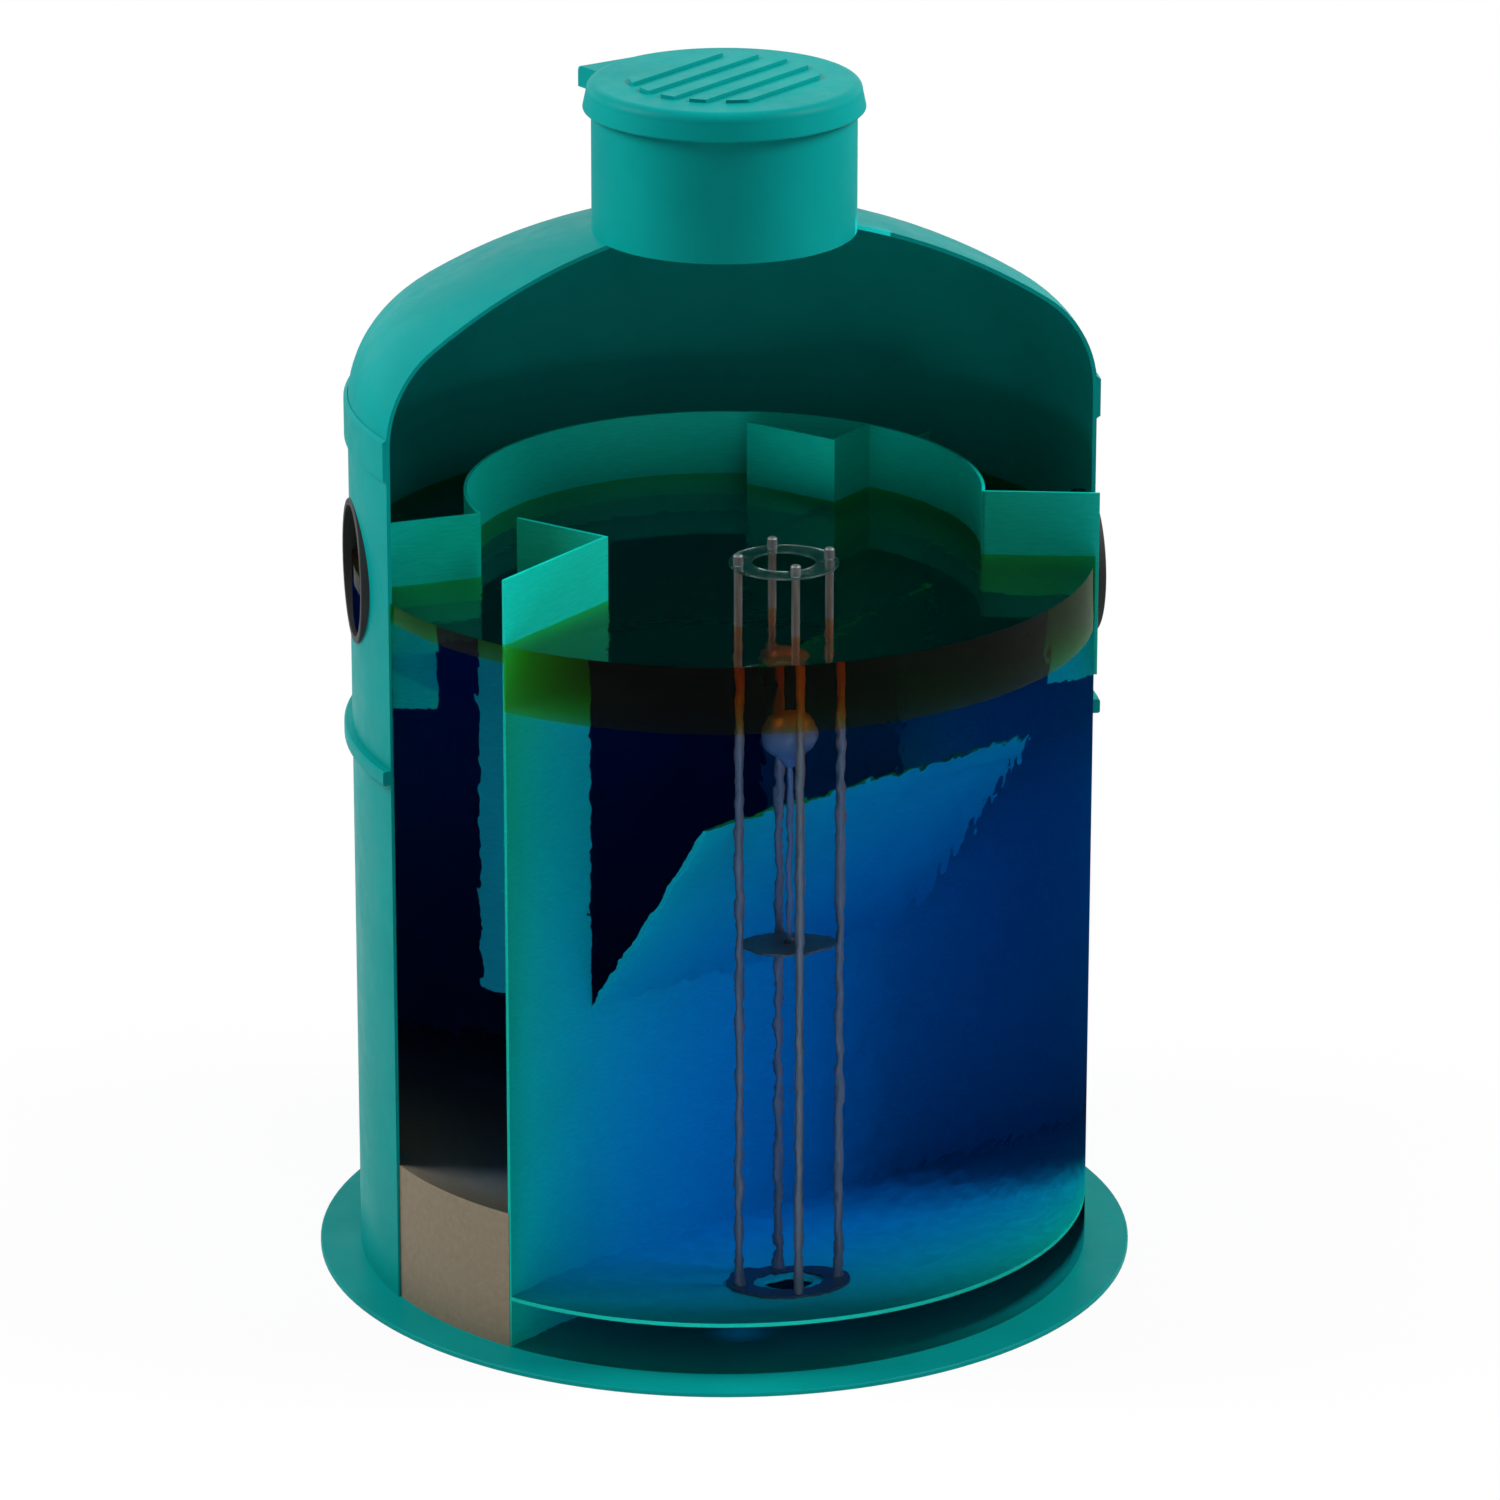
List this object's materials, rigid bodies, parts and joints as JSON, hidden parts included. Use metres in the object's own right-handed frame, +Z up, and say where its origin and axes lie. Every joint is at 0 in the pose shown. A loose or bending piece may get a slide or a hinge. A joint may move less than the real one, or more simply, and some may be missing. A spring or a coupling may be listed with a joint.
{
  "type": "oil separator",
  "caption": "Round domed tank, cut away at the front, with partitions, wave baffles, a float valve in a rod cage, pipe seals and a hinged lid on its neck.",
  "frame": {"origin": "centre of the base disc's underside", "axes": "+Z up along the tank, -X out of the inlet, +X out of the outlet, +Y away from the cut-away side's middle"},
  "size_m": [1.9998, 1.9998, 2.9484],
  "materials": {
    "outer_laminate": "smooth glossy gelcoat",
    "inner_laminate": "hand-laid laminate, satin",
    "seal_rubber": "matt",
    "rod_steel": "brushed",
    "valve_plastic": "tinted, glossy",
    "float_plastic": "smooth"
  },
  "bodies": {
    "tank": {"base_disc": "outer_laminate", "lower_shell_right": "outer_laminate", "lower_shell_rear": "outer_laminate", "lower_shell_left": "outer_laminate", "upper_shell_right": "outer_laminate", "upper_shell_rear": "outer_laminate", "upper_shell_left": "outer_laminate", "joint_flange": "outer_laminate", "joint_band": "outer_laminate", "dome": "outer_laminate", "neck": "outer_laminate", "hinge_bracket": "outer_laminate", "outlet_channel_wall": "inner_laminate", "inlet_channel_wall": "inner_laminate", "inlet_baffle": "inner_laminate", "outlet_baffle": "inner_laminate", "front_partition": "inner_laminate", "back_partition": "inner_laminate", "front_cheek_plate": "inner_laminate", "back_cheek_plate": "inner_laminate", "weir_wall": "inner_laminate", "inclined_plate": "inner_laminate", "incline_edge_band": "inner_laminate", "chamber_floor": "inner_laminate", "inlet_seal": "seal_rubber", "outlet_seal": "seal_rubber", "guide_rod_1": "rod_steel", "guide_rod_2": "rod_steel", "guide_rod_3": "rod_steel", "guide_rod_4": "rod_steel", "top_guide_ring": "valve_plastic", "valve_seat_ring": "valve_plastic"},
    "float": {"float_with_stem": "float_plastic", "valve_disc": "valve_plastic"},
    "cover": {"lid": "outer_laminate", "hinge_pin": "rod_steel"}
  },
  "joints": [
    {"name": "float_slide", "type": "slide", "parent": "tank", "child": "float", "axis": [0, 0, 1], "range_m": [-0.852, 0.3], "stiffness_N_per_m": 200, "springref_m": 0.10016},
    {"name": "cover_hinge", "type": "hinge", "parent": "tank", "child": "cover", "pos_m": [-0.17074, 0.36615, 2.84842], "axis": [-0.9063, -0.4226, 0], "range_deg": [0, 95]}
  ]
}
